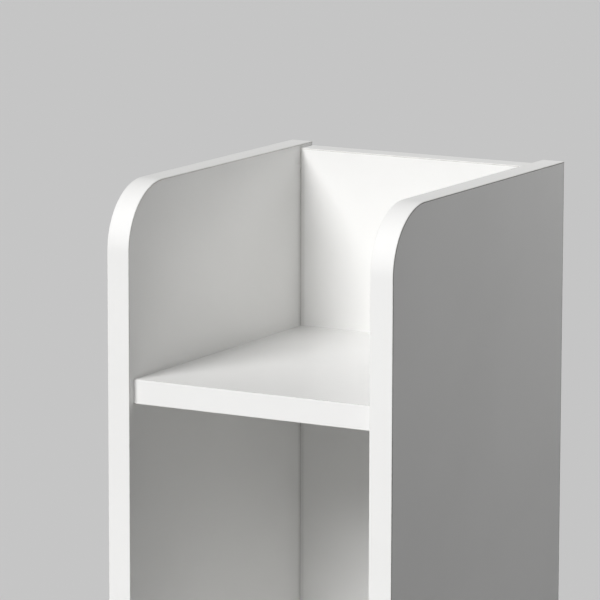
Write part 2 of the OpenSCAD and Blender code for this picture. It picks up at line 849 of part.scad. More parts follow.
side_left();
side_left_band();
side_left_rear_band();
side_right();
side_right_band();
side_right_rear_band();
back_board();
back_board_band();
tray_shelf();
tray_shelf_band();
niche_shelf();
niche_shelf_band();
bottom_panel();
bottom_panel_band();
plinth();
loose_shelf();
loose_shelf_band();
shelf_pins();
door();
door_bands();
door_pivot_pins();
door_pivot_bushes();
carcass_pivot_bushes();
knob();
knob_screw();
catch_housing();
catch_magnet();
catch_pole_plates();
catch_screws();
strike_plate();
strike_screw();
cam_bolts();
cam_locks();
cam_caps();
wood_dowels();
back_screws();
glides();
glide_nails();
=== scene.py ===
"""A narrow white column cabinet: finishes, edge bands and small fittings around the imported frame."""

import math

import bmesh
import bpy
from mathutils import Matrix, Vector


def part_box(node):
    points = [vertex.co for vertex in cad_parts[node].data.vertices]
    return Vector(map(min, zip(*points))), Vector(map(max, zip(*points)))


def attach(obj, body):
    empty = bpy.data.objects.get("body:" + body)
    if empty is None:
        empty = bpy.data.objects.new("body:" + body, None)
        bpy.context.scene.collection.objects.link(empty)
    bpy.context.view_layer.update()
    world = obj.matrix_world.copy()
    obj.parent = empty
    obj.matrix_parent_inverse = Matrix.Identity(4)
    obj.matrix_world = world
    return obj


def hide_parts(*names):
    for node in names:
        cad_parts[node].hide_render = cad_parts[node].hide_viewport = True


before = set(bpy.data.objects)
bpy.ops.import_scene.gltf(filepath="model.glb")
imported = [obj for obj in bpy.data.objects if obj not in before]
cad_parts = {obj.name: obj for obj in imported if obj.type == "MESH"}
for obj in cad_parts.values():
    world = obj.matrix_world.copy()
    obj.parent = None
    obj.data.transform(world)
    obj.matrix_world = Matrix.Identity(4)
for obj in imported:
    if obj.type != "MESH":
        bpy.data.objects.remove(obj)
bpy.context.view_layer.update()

MM = 0.001
X, Y, Z = (Vector(axis) for axis in ((1, 0, 0), (0, 1, 0), (0, 0, 1)))

# Sizes that the frame's boxes don't give
CORNER_R = 32 * MM
CORNER_LEAD = 1 * MM
BAND_T = 0.6 * MM
BAND_SKIN = 0.35 * MM
BAND_ARRIS = 0.3 * MM
GLUE_RECESS = 0.02 * MM
END_GAP = 0.05 * MM
END_ARRIS = 0.1 * MM
BUSH_HOLE_R = 4.05 * MM
CAM_CAP_R, CAM_CAP_T = 8 * MM, 1 * MM
CAM_CAP_ROUND, CAM_CAP_WALL, CAM_CAP_CROWN = 0.8 * MM, 0.4 * MM, 0.88 * MM
CAM_CAP_DEPTHS = (-41.25 * MM, 48.75 * MM)
KNOB_BORE_R, KNOB_BORE_L = 2.05 * MM, 9.3 * MM
KNOB_FOOT_R, KNOB_FOOT_T = 8 * MM, 2 * MM
KNOB_WAIST_R, KNOB_HEAD_T, KNOB_ROUND, KNOB_DOME = 5 * MM, 9 * MM, 3 * MM, 0.35 * MM
KNOB_SOFT = 0.3 * MM
KNOB_LIP_TURN = 3
KNOB_RUBBED_FROM, KNOB_RUBBED_TO = 11 * MM, 12.4 * MM

# Fineness and tolerances of the meshes
ARC_STEPS = 5
CORNER_STEPS = 32
LATHE_STEPS = 96
SOFT_STEPS, ROUND_STEPS, WAIST_STEPS = 4, 12, 24
CAM_CAP_STEPS = 6
OUTLINE_STEPS, EASE_STEPS = 6, 2
KNOB_DOME_RINGS = (0.85, 0.7, 0.55, 0.4, 0.25, 0.1)
CAM_CAP_RINGS = (0.8, 0.55, 0.3)
SMOOTH_BELOW = math.radians(32)
EASED_ABOVE = math.radians(30)
FLAT_BELOW = math.radians(1)
WELD = 0.002 * MM
AT_BOX_SIDE = 0.1 * MM

# Colours, where a pair is two tones that a noise mixes
WHITES = (0.875, 0.873, 0.862), (0.845, 0.843, 0.832)
SPECK = (0.62, 0.6, 0.57)
# The first of these colours is painted shade for inner corners, the second darkens the sides' outer faces
# beside their bands
CORNER_SHADE_PAINTED, RIM_DARKER = (0.24, 0.23, 0.2), (0.11, 0.105, 0.09)
CHIPS = (0.36, 0.24, 0.13), (0.66, 0.5, 0.32)
SAWDUST = (0.56, 0.42, 0.27)
# The second colour is rubbed wear and painted shade on the bands' rounded edges
BAND_WHITES, BAND_RUBBED_SHADED = ((0.898, 0.896, 0.886), (0.884, 0.882, 0.871)), (0.68, 0.67, 0.64)
GLUE_PALE = (0.5, 0.49, 0.46), (0.66, 0.65, 0.62)
GLUE_SOILED = (0.06, 0.056, 0.048), (0.19, 0.18, 0.155)
PLASTIC, PLASTIC_RUBBED = ((0.86, 0.86, 0.845), (0.82, 0.82, 0.8)), (0.7, 0.7, 0.67)
ZINC, ZINC_RUBBED = ((0.72, 0.73, 0.75), (0.6, 0.62, 0.66)), (0.8, 0.8, 0.79)
PLATE, PLATE_RUBBED = ((0.7, 0.7, 0.71), (0.58, 0.58, 0.6)), (0.8, 0.8, 0.8)
DIE_CAST = (0.5, 0.5, 0.51), (0.36, 0.36, 0.38)
FERRITE = (0.035, 0.035, 0.038), (0.08, 0.08, 0.085)
BEECH = (0.62, 0.42, 0.24), (0.44, 0.28, 0.15)
NICKEL, NICKEL_RUBBED = ((0.74, 0.71, 0.66), (0.66, 0.63, 0.585)), (0.78, 0.755, 0.71)

# Reach and strength of the finishes
FACE_SKIN = 0.04 * MM
# Width of the line of painted shade at an inner corner
CORNER_SHADE_W = 0.6 * MM
# Width and strength of the darker colour beside the bands on the sides' outer faces
RIM_DARK_W, RIM_DARK_SHARE = 0.5 * MM, 0.85
GLUE_SOILED_FROM, GLUE_SOILED_TO = 70 * MM, 73 * MM
CHIP_SCALE, CHIP_SCALE_ACROSS, RAW_ROUGHNESS = 420.0, 1100.0, 0.86
BRUSH_SCALE = 5200.0

# Light and background
SUN_LEVEL = 0.98
SUN_AZIMUTH = 12.0
SUN_ELEVATION = 37.5
SUN_SPREAD = 30.0
SUN_PLACE = (0.0, 0.0, 2.0)
FILL_PLACE = (0.35, 0.3, 1.0)
FILL_AIM = (0.08, 0.1, 1.0)
FILL_SIZE = 0.25
FILL_WATTS = 0.44
WORLD_LEVEL = 0.09
FLOOR_ALBEDO = 0.45
FLOOR_LIFT = 0.25
FLOOR_REACH = 60.0

# Camera
CAMERA_PLACE = (1.00333, -1.81969, 1.11087)
CAMERA_AZIMUTH = 29.2839
CAMERA_PITCH = 10.1576
CAMERA_ROLL = 0.1251
CAMERA_LENS, CAMERA_SENSOR = 259.93, 36.0
CAMERA_NEAR, CAMERA_FAR = 0.05, 4 * FLOOR_REACH


class Finish:
    """A procedural material around one Principled shader, in its piece's coordinates in metres."""

    def __init__(self, name, **constants):
        self.material = bpy.data.materials.new(name)
        self.material.use_nodes = True
        self.nodes = self.material.node_tree.nodes
        self.links = self.material.node_tree.links
        self.shader = self.nodes["Principled BSDF"]
        for socket, value in constants.items():
            self.shader.inputs[socket.replace("_", " ")].default_value = value
        self.place = self.nodes.new("ShaderNodeTexCoord").outputs["Object"]

    def add(self, kind, settings=None, **inputs):
        """A node with its settings made and its inputs set or linked."""
        node = self.nodes.new(kind)
        for key, value in (settings or {}).items():
            setattr(node, key, value)
        for key, value in inputs.items():
            self.feed(node.inputs[key.replace("_", " ")], value)
        return node

    def feed(self, socket, value):
        if isinstance(value, bpy.types.NodeSocket):
            self.links.new(value, socket)
        else:
            socket.default_value = value

    def math(self, operation, a, b=0.0):
        node = self.add("ShaderNodeMath", {"operation": operation})
        self.feed(node.inputs[0], a)
        self.feed(node.inputs[1], b)
        return node.outputs[0]

    def times(self, a, b):
        return self.math("MULTIPLY", a, b)

    def gap(self, a, b):
        """How far a and b lie apart."""
        return self.math("ABSOLUTE", self.math("SUBTRACT", a, b))

    def diagonal(self, a, b):
        """The length of a diagonal over the sides a and b."""
        return self.math("SQRT", self.math("ADD", self.times(a, a), self.times(b, b)))

    def axes(self):
        """The three coordinates of the place, as separate values."""
        return self.add("ShaderNodeSeparateXYZ", Vector=self.place).outputs

    def stretched(self, scale):
        """The place with each axis scaled by its own factor."""
        node = self.add("ShaderNodeMapping", {"vector_type": "POINT"}, Vector=self.place, Scale=scale)
        return node.outputs[0]

    def noise(self, scale, detail=3.0, roughness=0.5, vector=None):
        node = self.add("ShaderNodeTexNoise", Vector=vector or self.place, Scale=scale, Detail=detail,
                        Roughness=roughness)
        return node.outputs["Fac"]

    def ramp(self, value, low, high, to_low=0.0, to_high=1.0, smooth=True):
        """value carried from low..high to to_low..to_high, and held beyond."""
        kind = "SMOOTHSTEP" if smooth else "LINEAR"
        node = self.add("ShaderNodeMapRange", {"interpolation_type": kind})
        for socket, item in zip(node.inputs, (value, low, high, to_low, to_high)):
            self.feed(socket, item)
        return node.outputs[0]

    def spread(self, noise, to_low, to_high):
        """A noise whose usual range, 0.3 to 0.7, gives to_low..to_high, with no stop at either end."""
        node = self.add("ShaderNodeMapRange", {"clamp": False})
        for socket, item in zip(node.inputs, (noise, 0.3, 0.7, to_low, to_high)):
            self.feed(socket, item)
        return node.outputs[0]

    def patches(self, scale, low, high, to_low=0.0, to_high=1.0):
        """Broken patches from to_low to to_high, as dirt and rubbing leave them."""
        return self.ramp(self.noise(scale, 4, 0.7), low, high, to_low, to_high)

    def mix(self, share, a, b):
        """Colour a at share 0 and colour b at share 1."""
        node = self.add("ShaderNodeMix", {"data_type": "RGBA"})
        colours = [s for s in node.inputs if s.type == "RGBA"]
        self.feed(node.inputs[0], share)
        for socket, colour in zip(colours, (a, b)):
            self.feed(socket, colour if isinstance(colour, bpy.types.NodeSocket) else (*colour, 1.0))
        return next(s for s in node.outputs if s.type == "RGBA")

    def mottle(self, pair, scale, detail=3.0, roughness=0.5, low=0.3, high=0.7):
        """Two tones mixed by a noise, which is cut off at low and high."""
        return self.mix(self.ramp(self.noise(scale, detail, roughness), low, high), *pair)

    def worn(self, colour, mask, share, bare):
        """A colour with a share of the bare colour where the mask is 1."""
        return self.mix(self.times(mask, share), colour, bare)

    def edge(self, radius, broken):
        """Up to 1 within radius of an edge, in broken patches, and 0 on open faces."""
        soft = self.add("ShaderNodeBevel", {"samples": 4}, Radius=radius).outputs[0]
        plain = self.nodes.new("ShaderNodeNewGeometry").outputs["Normal"]
        agree = self.add("ShaderNodeVectorMath", {"operation": "DOT_PRODUCT"})
        self.feed(agree.inputs[0], soft)
        self.feed(agree.inputs[1], plain)
        near = self.ramp(agree.outputs["Value"], 0.8, 0.99, 1.0, 0.0)
        return self.times(near, self.patches(broken, 0.42, 0.62))

    def arris(self, axis):
        """Up to 1 on the rounded edges of a band whose width runs along axis, in broken patches."""
        normal = self.nodes.new("ShaderNodeTexCoord").outputs["Normal"]
        slant = self.math("ABSOLUTE", self.add("ShaderNodeSeparateXYZ", Vector=normal).outputs[axis])
        turned = self.times(self.ramp(slant, 0.05, 0.3), self.ramp(slant, 0.85, 0.99, 1.0, 0.0))
        return self.times(turned, self.patches(260.0, 0.35, 0.65, 0.3, 1.0))

    def bump(self, height, distance, strength=1.0, below=None):
        node = self.add("ShaderNodeBump", Height=height, Distance=distance, Strength=strength)
        if below is not None:
            self.links.new(below, node.inputs["Normal"])
        return node.outputs[0]

    def done(self, colour, roughness, normal):
        for socket, value in (("Base Color", colour), ("Roughness", roughness), ("Normal", normal)):
            self.links.new(value, self.shader.inputs[socket])
        return self.material


def melamine(f):
    """Colour, roughness and height of a fine satin white face."""
    cells = f.add("ShaderNodeTexVoronoi", {"feature": "F1"}, Vector=f.place, Scale=210.0)
    speck = f.ramp(cells.outputs["Distance"], 0.028, 0.05, 1.0, 0.0)
    colour = f.worn(f.mottle(WHITES, 9, low=0.35, high=0.65), speck, 0.2, SPECK)
    return colour, f.spread(f.noise(38, 4, 0.6), 0.37, 0.45), f.noise(1500, 2, 0.6)


def chipboard(f, thickness_axis):
    """Colour, roughness and height of a sawn or drilled particle board."""
    scale = [CHIP_SCALE] * 3
    scale[thickness_axis] = CHIP_SCALE_ACROSS
    chips = f.add("ShaderNodeTexVoronoi", {"feature": "F1"}, Vector=f.stretched(scale), Scale=1.0)
    tone = f.add("ShaderNodeSeparateColor", Color=chips.outputs["Color"]).outputs[0]
    colour = f.mix(f.ramp(tone, 0.0, 1.0, smooth=False), *CHIPS)
    dust_and_shade = f.ramp(f.noise(2600, 3, 0.7), 0.3, 0.7, 0.0, 0.5)
    colour = f.mix(dust_and_shade, colour, SAWDUST)
    return colour, RAW_ROUGHNESS, f.math("ADD", chips.outputs["Distance"], dust_and_shade)


def on_face(f, depth, face):
    """1 on the face of a board that lies at this depth, and 0 off it."""
    return f.math("LESS_THAN", f.gap(depth, face), FACE_SKIN)


def painted_corner_shade(f, depth, run, place, face):
    """Painted shade on one face of a board beside its joint with another board, at place along the axis run:
    a dark line at the joint and a fainter shade reaching further out.
    """
    off = f.gap(f.math("ABSOLUTE", f.axes()[run]), place)
    line = f.ramp(off, 0.0, CORNER_SHADE_W, 0.25, 0.0)
    dust_and_shade = f.ramp(off, 2 * CORNER_SHADE_W, 5 * CORNER_SHADE_W, 0.14, 0.0)
    return f.times(f.math("ADD", line, dust_and_shade), on_face(f, depth, face))


def rim_darkening(f, front, top, face):
    """A darker colour beside the band on the outer face of a side, down its front and round its corner."""
    x, y, z = f.axes()
    forward = f.math("MAXIMUM", f.math("SUBTRACT", front + CORNER_R, y), 0.0)
    upward = f.math("MAXIMUM", f.math("SUBTRACT", z, top - CORNER_R), 0.0)
    inset = f.math("SUBTRACT", CORNER_R, f.diagonal(forward, upward))
    line = f.ramp(inset, BAND_T, BAND_T + RIM_DARK_W, RIM_DARK_SHARE, 0.0, smooth=False)
    line = f.times(line, f.ramp(forward, 0.15 * CORNER_R, 0.6 * CORNER_R))
    line = f.times(line, f.patches(300, 0.3, 0.6, 0.6, 1.0))
    return f.times(line, on_face(f, x, face))


def board_finish(name, axis, low, high, corner=None, rim=None):
    """White faced particle board, raw wherever it is cut through between its two faces.
    corner is (run, place, face) for the painted shade in an inner corner, and rim is (front, top, face) for
    the darker colour beside the band on a side's outer face."""
    f = Finish(name, Specular_IOR_Level=0.5)
    white, white_rough, grain = melamine(f)
    raw, raw_rough, chips = chipboard(f, axis)
    depth = f.axes()[axis]
    above = f.math("GREATER_THAN", depth, low + FACE_SKIN)
    core = f.times(above, f.math("LESS_THAN", depth, high - FACE_SKIN))
    # Painted shade in the inner corner where this board meets another
    if corner:
        white = f.mix(painted_corner_shade(f, depth, *corner), white, CORNER_SHADE_PAINTED)
    # A darker colour beside the band on a side's outer face
    if rim:
        white = f.mix(rim_darkening(f, *rim), white, RIM_DARKER)
    colour = f.mix(core, white, raw)
    rough = f.ramp(core, 0.0, 1.0, white_rough, raw_rough, smooth=False)
    fine = f.bump(grain, 0.012 * MM, 0.5)
    return f.done(colour, rough, f.bump(f.times(chips, core), 0.12 * MM, below=fine))


def band_finish(axis):
    """Smooth white band whose rounded edges are rubbed and also darkened with painted shade that dims their
    highlight, for a band whose width runs along axis.
    """
    f = Finish(f"edge_band_white_{'xyz'[axis]}", Specular_IOR_Level=0.35)
    rubbed = f.arris(axis)
    # Rubbed wear and painted shade on the rounded edges, which dims the highlight they catch
    colour = f.worn(f.mottle(BAND_WHITES, 14, low=0.35, high=0.65), rubbed, 0.55, BAND_RUBBED_SHADED)
    rough = f.math("ADD", f.spread(f.noise(60, 4, 0.6), 0.58, 0.64), f.times(rubbed, 0.1))
    waves = f.bump(f.noise(180, 2), 0.015 * MM, 0.5)
    return f.done(colour, rough, f.bump(f.noise(2200, 2), 0.005 * MM, 0.5, below=waves))


def glue_finish():
    """The joint behind a band, soiled on the sides' outer faces and on level faces, and pale elsewhere."""
    f = Finish("edge_band_glue", Specular_IOR_Level=0.3)
    patches = f.patches(160, 0.35, 0.65)
    normal = f.nodes.new("ShaderNodeNewGeometry").outputs["Normal"]
    upward = f.math("ABSOLUTE", f.add("ShaderNodeSeparateXYZ", Vector=normal).outputs[2])
    level = f.math("GREATER_THAN", upward, 0.7)
    outer = f.ramp(f.math("ABSOLUTE", f.axes()[0]), GLUE_SOILED_FROM, GLUE_SOILED_TO)
    pale, soiled = f.mix(patches, *GLUE_PALE), f.mix(patches, *GLUE_SOILED)
    colour = f.mix(f.math("MAXIMUM", level, outer), pale, soiled)
    return f.done(colour, f.spread(f.noise(900, 2), 0.65, 0.8), f.bump(f.noise(3000, 3), 0.03 * MM))


def plastic_finish():
    f = Finish("moulded_white_plastic", Specular_IOR_Level=0.5)
    colour = f.worn(f.mottle(PLASTIC, 90), f.edge(0.8 * MM, 260.0), 0.35, PLASTIC_RUBBED)
    rough = f.spread(f.noise(240, 4, 0.6), 0.4, 0.48)
    return f.done(colour, rough, f.bump(f.noise(3500, 3), 0.01 * MM))


def zinc_steel_finish():
    f = Finish("zinc_plated_steel", Metallic=1.0)
    rubbed = f.edge(0.15 * MM, 700.0)
    colour = f.worn(f.mottle(ZINC, 260), rubbed, 0.6, ZINC_RUBBED)
    rough = f.math("SUBTRACT", f.spread(f.noise(900, 4, 0.7), 0.27, 0.4), f.times(rubbed, 0.08))
    return f.done(colour, rough, f.bump(f.noise(4200, 3), 0.008 * MM))


def plate_steel_finish():
    f = Finish("plated_sheet_steel", Metallic=1.0)
    lines = f.noise(1.0, 2, 0.6, vector=f.stretched((6000.0, 6000.0, 160.0)))
    colour = f.worn(f.mottle(PLATE, 140), f.edge(0.5 * MM, 700.0), 0.6, PLATE_RUBBED)
    return f.done(colour, f.spread(lines, 0.28, 0.4), f.bump(lines, 0.006 * MM))


def die_cast_finish():
    f = Finish("die_cast_zinc", Metallic=1.0)
    colour = f.mottle(DIE_CAST, 420, 5, 0.7)
    return f.done(colour, f.spread(f.noise(700, 3), 0.48, 0.62), f.bump(f.noise(1800, 4), 0.03 * MM))


def ferrite_finish():
    f = Finish("sintered_ferrite", Specular_IOR_Level=0.4)
    colour = f.mottle(FERRITE, 1200, 5, 0.7)
    return f.done(colour, f.spread(f.noise(800, 3), 0.6, 0.75), f.bump(f.noise(2600, 4), 0.03 * MM))


def beech_finish():
    f = Finish("turned_beech", Specular_IOR_Level=0.4)
    grain = f.noise(1.0, 4, 0.6, vector=f.stretched((60.0, 1400.0, 1400.0)))
    colour = f.mix(f.ramp(grain, 0.3, 0.7), *BEECH)
    return f.done(colour, f.spread(grain, 0.55, 0.65), f.bump(grain, 0.05 * MM))


def knob_finish(centre):
    """Satin nickel, brushed in rings round the axis of the knob, which runs along Y."""
    f = Finish("satin_nickel", Metallic=1.0)
    across = f.math("SUBTRACT", f.axes()[0], centre.x)
    up = f.math("SUBTRACT", f.axes()[2], centre.z)
    radius = f.diagonal(across, up)
    around = f.times(radius, BRUSH_SCALE)
    along = f.times(f.axes()[1], BRUSH_SCALE)
    rings = f.add("ShaderNodeCombineXYZ", X=around, Y=along).outputs[0]
    brush = f.noise(1.0, 3, 0.65, vector=rings)
    rim = f.times(f.ramp(radius, KNOB_RUBBED_FROM, KNOB_RUBBED_TO), f.patches(420, 0.35, 0.6))
    colour = f.worn(f.mottle(NICKEL, 120), rim, 0.3, NICKEL_RUBBED)
    rough = f.math("SUBTRACT", f.spread(brush, 0.27, 0.38), f.times(rim, 0.06))
    return f.done(colour, rough, f.bump(brush, 0.006 * MM))


def shade(obj, material):
    obj.data.materials.clear()
    obj.data.materials.append(material)


def make_piece(name, bm, body, slot, stands_for, *materials):
    """A mesh that rides on a body, takes the finishes given and stands for CAD nodes; slot is not used."""
    bmesh.ops.recalc_face_normals(bm, faces=bm.faces)
    mesh = bpy.data.meshes.new(name)
    for material in materials:
        mesh.materials.append(material)
    bm.to_mesh(mesh)
    bm.free()
    mesh.polygons.foreach_set("use_smooth", [True] * len(mesh.polygons))
    mesh.set_sharp_from_angle(angle=SMOOTH_BELOW)
    obj = bpy.data.objects.new(name, mesh)
    bpy.context.scene.collection.objects.link(obj)
    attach(obj, body)
    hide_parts(*stands_for)


def quarter(radius):
    """Points of a quarter circle from (radius, 0) to (0, radius)."""
    turns = [i * math.pi / 2 / ARC_STEPS for i in range(ARC_STEPS + 1)]
    return [(radius * math.cos(t), radius * math.sin(t)) for t in turns]


def band_section(width):
    """Outline of a flat band with two rounded outer edges, as (across, depth) points."""
    flat = BAND_ARRIS / 6
    edge = [(width / 2, BAND_SKIN)]
    edge += [(width / 2 - BAND_ARRIS + a, BAND_ARRIS - d) for a, d in quarter(BAND_ARRIS)]
    edge.append((width / 2 - BAND_ARRIS - flat, 0.0))
    return edge + [(-a, d) for a, d in reversed(edge)]


def glue_section(width):
    """Outline of the layer of glue behind a band, as (across, depth) points."""
    half = width / 2 - GLUE_RECESS
    return [(half, BAND_T), (half, BAND_SKIN), (-half, BAND_SKIN), (-half, BAND_T)]


def loft(bm, stations, across, section, slot):
    """A closed solid along stations of (point, normal, drop): drop lowers the outer face near an end."""
    rings = []
    for point, normal, drop in stations:
        rings.append([bm.verts.new(point + across * a - normal * max(d, drop)) for a, d in section])
    count = len(section)
    for near, far in zip(rings, rings[1:]):
        for i in range(count):
            j = (i + 1) % count
            bm.faces.new((near[i], near[j], far[j], far[i])).material_index = slot
    for ring in (rings[0], rings[-1]):
        bm.faces.new(ring).material_index = slot


def straight_run(start, end, normal, arris):
    """Stations along a straight band whose two ends are eased."""
    along = (end - start).normalized()
    inset = [(arris - a, arris - d) for a, d in quarter(arris)]
    stations = [(start + along * a, normal, d) for a, d in inset]
    stations += [(start + along * 2 * arris, normal, 0.0), (end - along * 2 * arris, normal, 0.0)]
    return stations + [(end - along * a, normal, d) for a, d in reversed(inset)]


def side_run(front, rear, bottom, top, x):
    """Stations up the front of a side at x, round its top corner and back along its top."""
    points = [(front, bottom, 0.0), (front, top - CORNER_R - CORNER_LEAD, 0.0)]
    for i in range(CORNER_STEPS + 1):
        turn = i * math.pi / 2 / CORNER_STEPS
        y = front + CORNER_R - CORNER_R * math.cos(turn)
        points.append((y, top - CORNER_R + CORNER_R * math.sin(turn), turn))
    points += [(front + CORNER_R + CORNER_LEAD, top, math.pi / 2), (rear, top, math.pi / 2)]
    return [(Vector((x, y, z)), Vector((0, -math.cos(t), math.sin(t))), 0.0) for y, z, t in points]


def bored(bm, centres, radius, length):
    """The solid in bm less upright round holes."""
    drill = bmesh.new()
    for centre in centres:
        bmesh.ops.create_cone(drill, cap_ends=True, segments=LATHE_STEPS, radius1=radius, radius2=radius,
                              depth=length, matrix=Matrix.Translation(centre))
    objects = []
    for name, solid in (("blank", bm), ("drill", drill)):
        bmesh.ops.recalc_face_normals(solid, faces=solid.faces)
        mesh = bpy.data.meshes.new(name)
        solid.to_mesh(mesh)
        solid.free()
        objects.append(bpy.data.objects.new(name, mesh))
        bpy.context.scene.collection.objects.link(objects[-1])
    blank, bit = objects
    cut = blank.modifiers.new("bore", "BOOLEAN")
    cut.operation, cut.object, cut.solver = "DIFFERENCE", bit, "EXACT"
    result = bmesh.new()
    result.from_object(blank, bpy.context.evaluated_depsgraph_get())
    for obj in objects:
        mesh = obj.data
        bpy.data.objects.remove(obj)
        bpy.data.meshes.remove(mesh)
    return result


def band(name, runs, across, width, body, stands_for, holes=()):
    """Bands with rounded edges on their layers of glue, one along each run.
    A level run is bored at the holes that lie at its height."""
    scratch = bpy.data.meshes.new("scratch")
    joined = bmesh.new()
    for stations in runs:
        square = [(point, normal, 0.0) for point, normal, drop in stations]
        layers = (stations, band_section(width)), (square, glue_section(width))
        for slot, (places, section) in enumerate(layers):
            layer = bmesh.new()
            loft(layer, places, across, section, slot)
            start, normal, drop = places[0]
            bores = [h for h in holes if normal.z and abs(h.z - start.z) < 2 * BAND_T]
            if bores:
                layer = bored(layer, bores, BUSH_HOLE_R, 8 * BAND_T)
                for face in layer.faces:
                    face.material_index = slot
            layer.to_mesh(scratch)
            layer.free()
            joined.from_mesh(scratch)
    bpy.data.meshes.remove(scratch)
    white = BAND_WHITE[max(range(3), key=lambda axis: abs(across[axis]))]
    make_piece(name, joined, body, "white_edge_band", stands_for, white, BAND_GLUE)


def side_bands(side):
    """The bands of one side board: front with corner and top, and rear."""
    low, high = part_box(f"side_{side}_band")
    x = (low.x + high.x) / 2
    width = high.x - low.x
    run = side_run(low.y, high.y, low.z, high.z, x)
    band(f"side_{side}_edge_band", [run], X, width, "carcass", [f"side_{side}_band"])
    low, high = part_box(f"side_{side}_rear_band")
    run = straight_run(Vector((x, high.y, low.z)), Vector((x, high.y, high.z)), Y, BAND_ARRIS)
    band(f"side_{side}_rear_edge_band", [run], X, width, "carcass", [f"side_{side}_rear_band"])


def front_band(board, gap):
    """The band on the front edge of a shelf, short of the sides by the gap."""
    low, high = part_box(f"{board}_band")
    z = (low.z + high.z) / 2
    run = straight_run(Vector((low.x + gap, low.y, z)), Vector((high.x - gap, low.y, z)), -Y, END_ARRIS)
    band(f"{board}_edge_band", [run], Z, high.z - low.z, "carcass", [f"{board}_band"])


def back_band():
    low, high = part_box("back_board_band")
    y = (low.y + high.y) / 2
    left, right = Vector((low.x + END_GAP, y, high.z)), Vector((high.x - END_GAP, y, high.z))
    run = straight_run(left, right, Z, END_ARRIS)
    band("back_board_edge_band", [run], Y, high.y - low.y, "carcass", ["back_board_band"])


def door_bands():
    """Four bands round the door, the upper and lower ones with holes for the pivot bushes."""
    low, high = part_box("door_bands")
    y = (low.y + high.y) / 2
    pivot_low, pivot_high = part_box("door_pivot_pins")
    pivot = (pivot_low + pivot_high) / 2
    left, right = low.x + BAND_T, high.x - BAND_T
    runs = [straight_run(Vector((x, y, low.z)), Vector((x, y, high.z)), out, BAND_ARRIS)
            for x, out in ((low.x, -X), (high.x, X))]
    runs += [straight_run(Vector((left, y, z)), Vector((right, y, z)), out, BAND_ARRIS)
             for z, out in ((high.z, Z), (low.z, -Z))]
    holes = [Vector((pivot.x, pivot.y, z)) for z in (low.z, high.z)]
    band("door_edge_bands", runs, Y, high.y - low.y, "door", ["door_bands"], holes)


def arc(centre, radii, start, end, steps):
    """Points (radius, height) along an elliptic arc, angles in degrees from the outward direction."""
    turns = [math.radians(start + (end - start) * i / steps) for i in range(steps + 1)]
    return [(centre[0] + radii[0] * math.cos(t), centre[1] + radii[1] * math.sin(t)) for t in turns]


def lathe(bm, profile, base, out):
    """A solid turned round the axis through base along out; the profile begins and ends on the axis."""
    side = X if abs(out.x) < 0.5 else Y
    other = out.cross(side)
    poles = [bm.verts.new(base + out * profile[i][1]) for i in (0, -1)]
    turns = [2 * math.pi * i / LATHE_STEPS for i in range(LATHE_STEPS)]
    rings = []
    for radius, height in profile[1:-1]:
        rings.append([bm.verts.new(base + out * height + (side * math.cos(t) + other * math.sin(t)) * radius)
                      for t in turns])
    for i in range(LATHE_STEPS):
        j = (i + 1) % LATHE_STEPS
        for near, far in zip(rings, rings[1:]):
            bm.faces.new((near[i], near[j], far[j], far[i]))
        bm.faces.new((poles[0], rings[0][j], rings[0][i]))
        bm.faces.new((poles[1], rings[-1][i], rings[-1][j]))


def knob_profile(length, head_r):
    """Half outline of the knob from its bore to its slightly domed face."""
    neck = length - KNOB_FOOT_T - KNOB_HEAD_T
    curve_in = KNOB_FOOT_R - KNOB_WAIST_R
    curve_r = ((neck / 2) ** 2 + curve_in ** 2) / (2 * curve_in)
    reach = math.degrees(math.asin(neck / 2 / curve_r))
    waist = (KNOB_WAIST_R + curve_r, KNOB_FOOT_T + neck / 2)
    soft = KNOB_SOFT
    rim = head_r - KNOB_ROUND
    back, face = length - KNOB_HEAD_T + KNOB_ROUND, length - KNOB_ROUND
    profile = [(0.0, KNOB_BORE_L), (KNOB_BORE_R, KNOB_BORE_L), (KNOB_BORE_R, 0.0)]
    profile += arc((KNOB_FOOT_R - soft, soft), (soft, soft), -90, 0, SOFT_STEPS)
    profile += [(KNOB_FOOT_R, KNOB_FOOT_T - soft), (KNOB_FOOT_R - soft / 4, KNOB_FOOT_T - soft / 8)]
    profile += arc(waist, (curve_r, curve_r), 180 + reach - KNOB_LIP_TURN, 180 - reach, WAIST_STEPS)
    profile += arc((rim, back), (KNOB_ROUND, KNOB_ROUND), -90, 0, ROUND_STEPS)
    profile += arc((rim, face), (KNOB_ROUND, KNOB_ROUND - KNOB_DOME), 0, 90, ROUND_STEPS)
    profile += [(rim * s, length - KNOB_DOME * s * s) for s in KNOB_DOME_RINGS]
    return profile + [(0.0, length)]


def turned_knob():
    low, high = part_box("knob")
    centre = (low + high) / 2
    bm = bmesh.new()
    lathe(bm, knob_profile(high.y - low.y, (high.x - low.x) / 2), Vector((centre.x, high.y, centre.z)), -Y)
    make_piece("knob_turned", bm, "door", "satin_nickel", ["knob"], knob_finish(centre))


